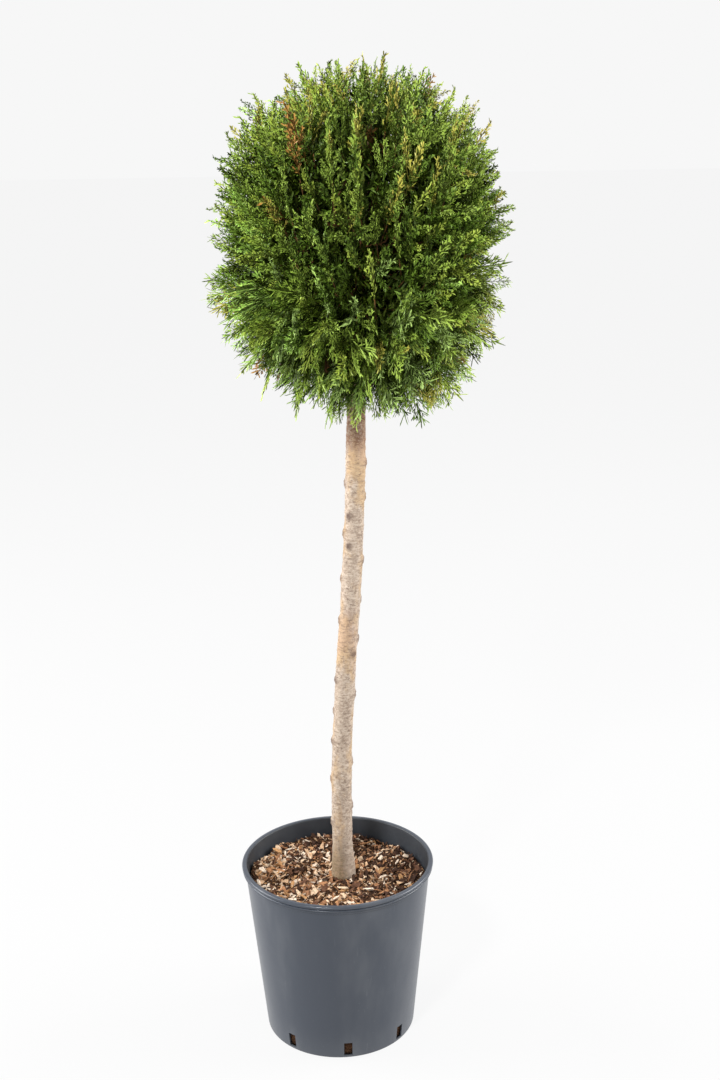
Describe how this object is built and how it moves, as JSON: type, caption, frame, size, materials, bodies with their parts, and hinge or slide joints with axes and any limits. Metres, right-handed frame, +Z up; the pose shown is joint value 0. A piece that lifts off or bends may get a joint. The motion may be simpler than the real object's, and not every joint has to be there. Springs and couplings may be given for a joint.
{
  "type": "potted lollipop topiary",
  "caption": "Clipped egg-shaped conifer head on a slender bare stem, standing in a round tapered nursery pot filled with bark compost.",
  "frame": {"origin": "centre of the pot's flat underside", "axes": "+Z up the stem, -Y is the front of the crown, where it parts above the stem, and +X is the side the stem leans to"},
  "size_m": [0.4381, 0.4105, 1.4868],
  "materials": {
    "pot_plastic": "satin, lightly dusty",
    "bark_compost": "loose bark chips",
    "stem_bark": "thin fibrous bark",
    "foliage": "matt scale-leaf sprays"
  },
  "bodies": {
    "root": {"pot": "pot_plastic", "compost": "bark_compost", "stem": "stem_bark", "bough_lower_back_left": "stem_bark", "bough_lower_back_right": "stem_bark", "bough_lower_front_left": "stem_bark", "bough_lower_front_right": "stem_bark", "bough_lower_left": "stem_bark", "bough_lower_right": "stem_bark", "bough_upper_back": "stem_bark", "bough_upper_front_left": "stem_bark", "bough_upper_front_right": "stem_bark", "bough_upper_left": "stem_bark", "bough_upper_right": "stem_bark", "foliage_lower_back_left": "foliage", "foliage_lower_back_right": "foliage", "foliage_lower_front_left": "foliage", "foliage_lower_front_right": "foliage", "foliage_lower_left": "foliage", "foliage_lower_right": "foliage", "foliage_top": "foliage", "foliage_upper_back": "foliage", "foliage_upper_front_left": "foliage", "foliage_upper_front_right": "foliage", "foliage_upper_left": "foliage", "foliage_upper_right": "foliage"}
  },
  "joints": []
}
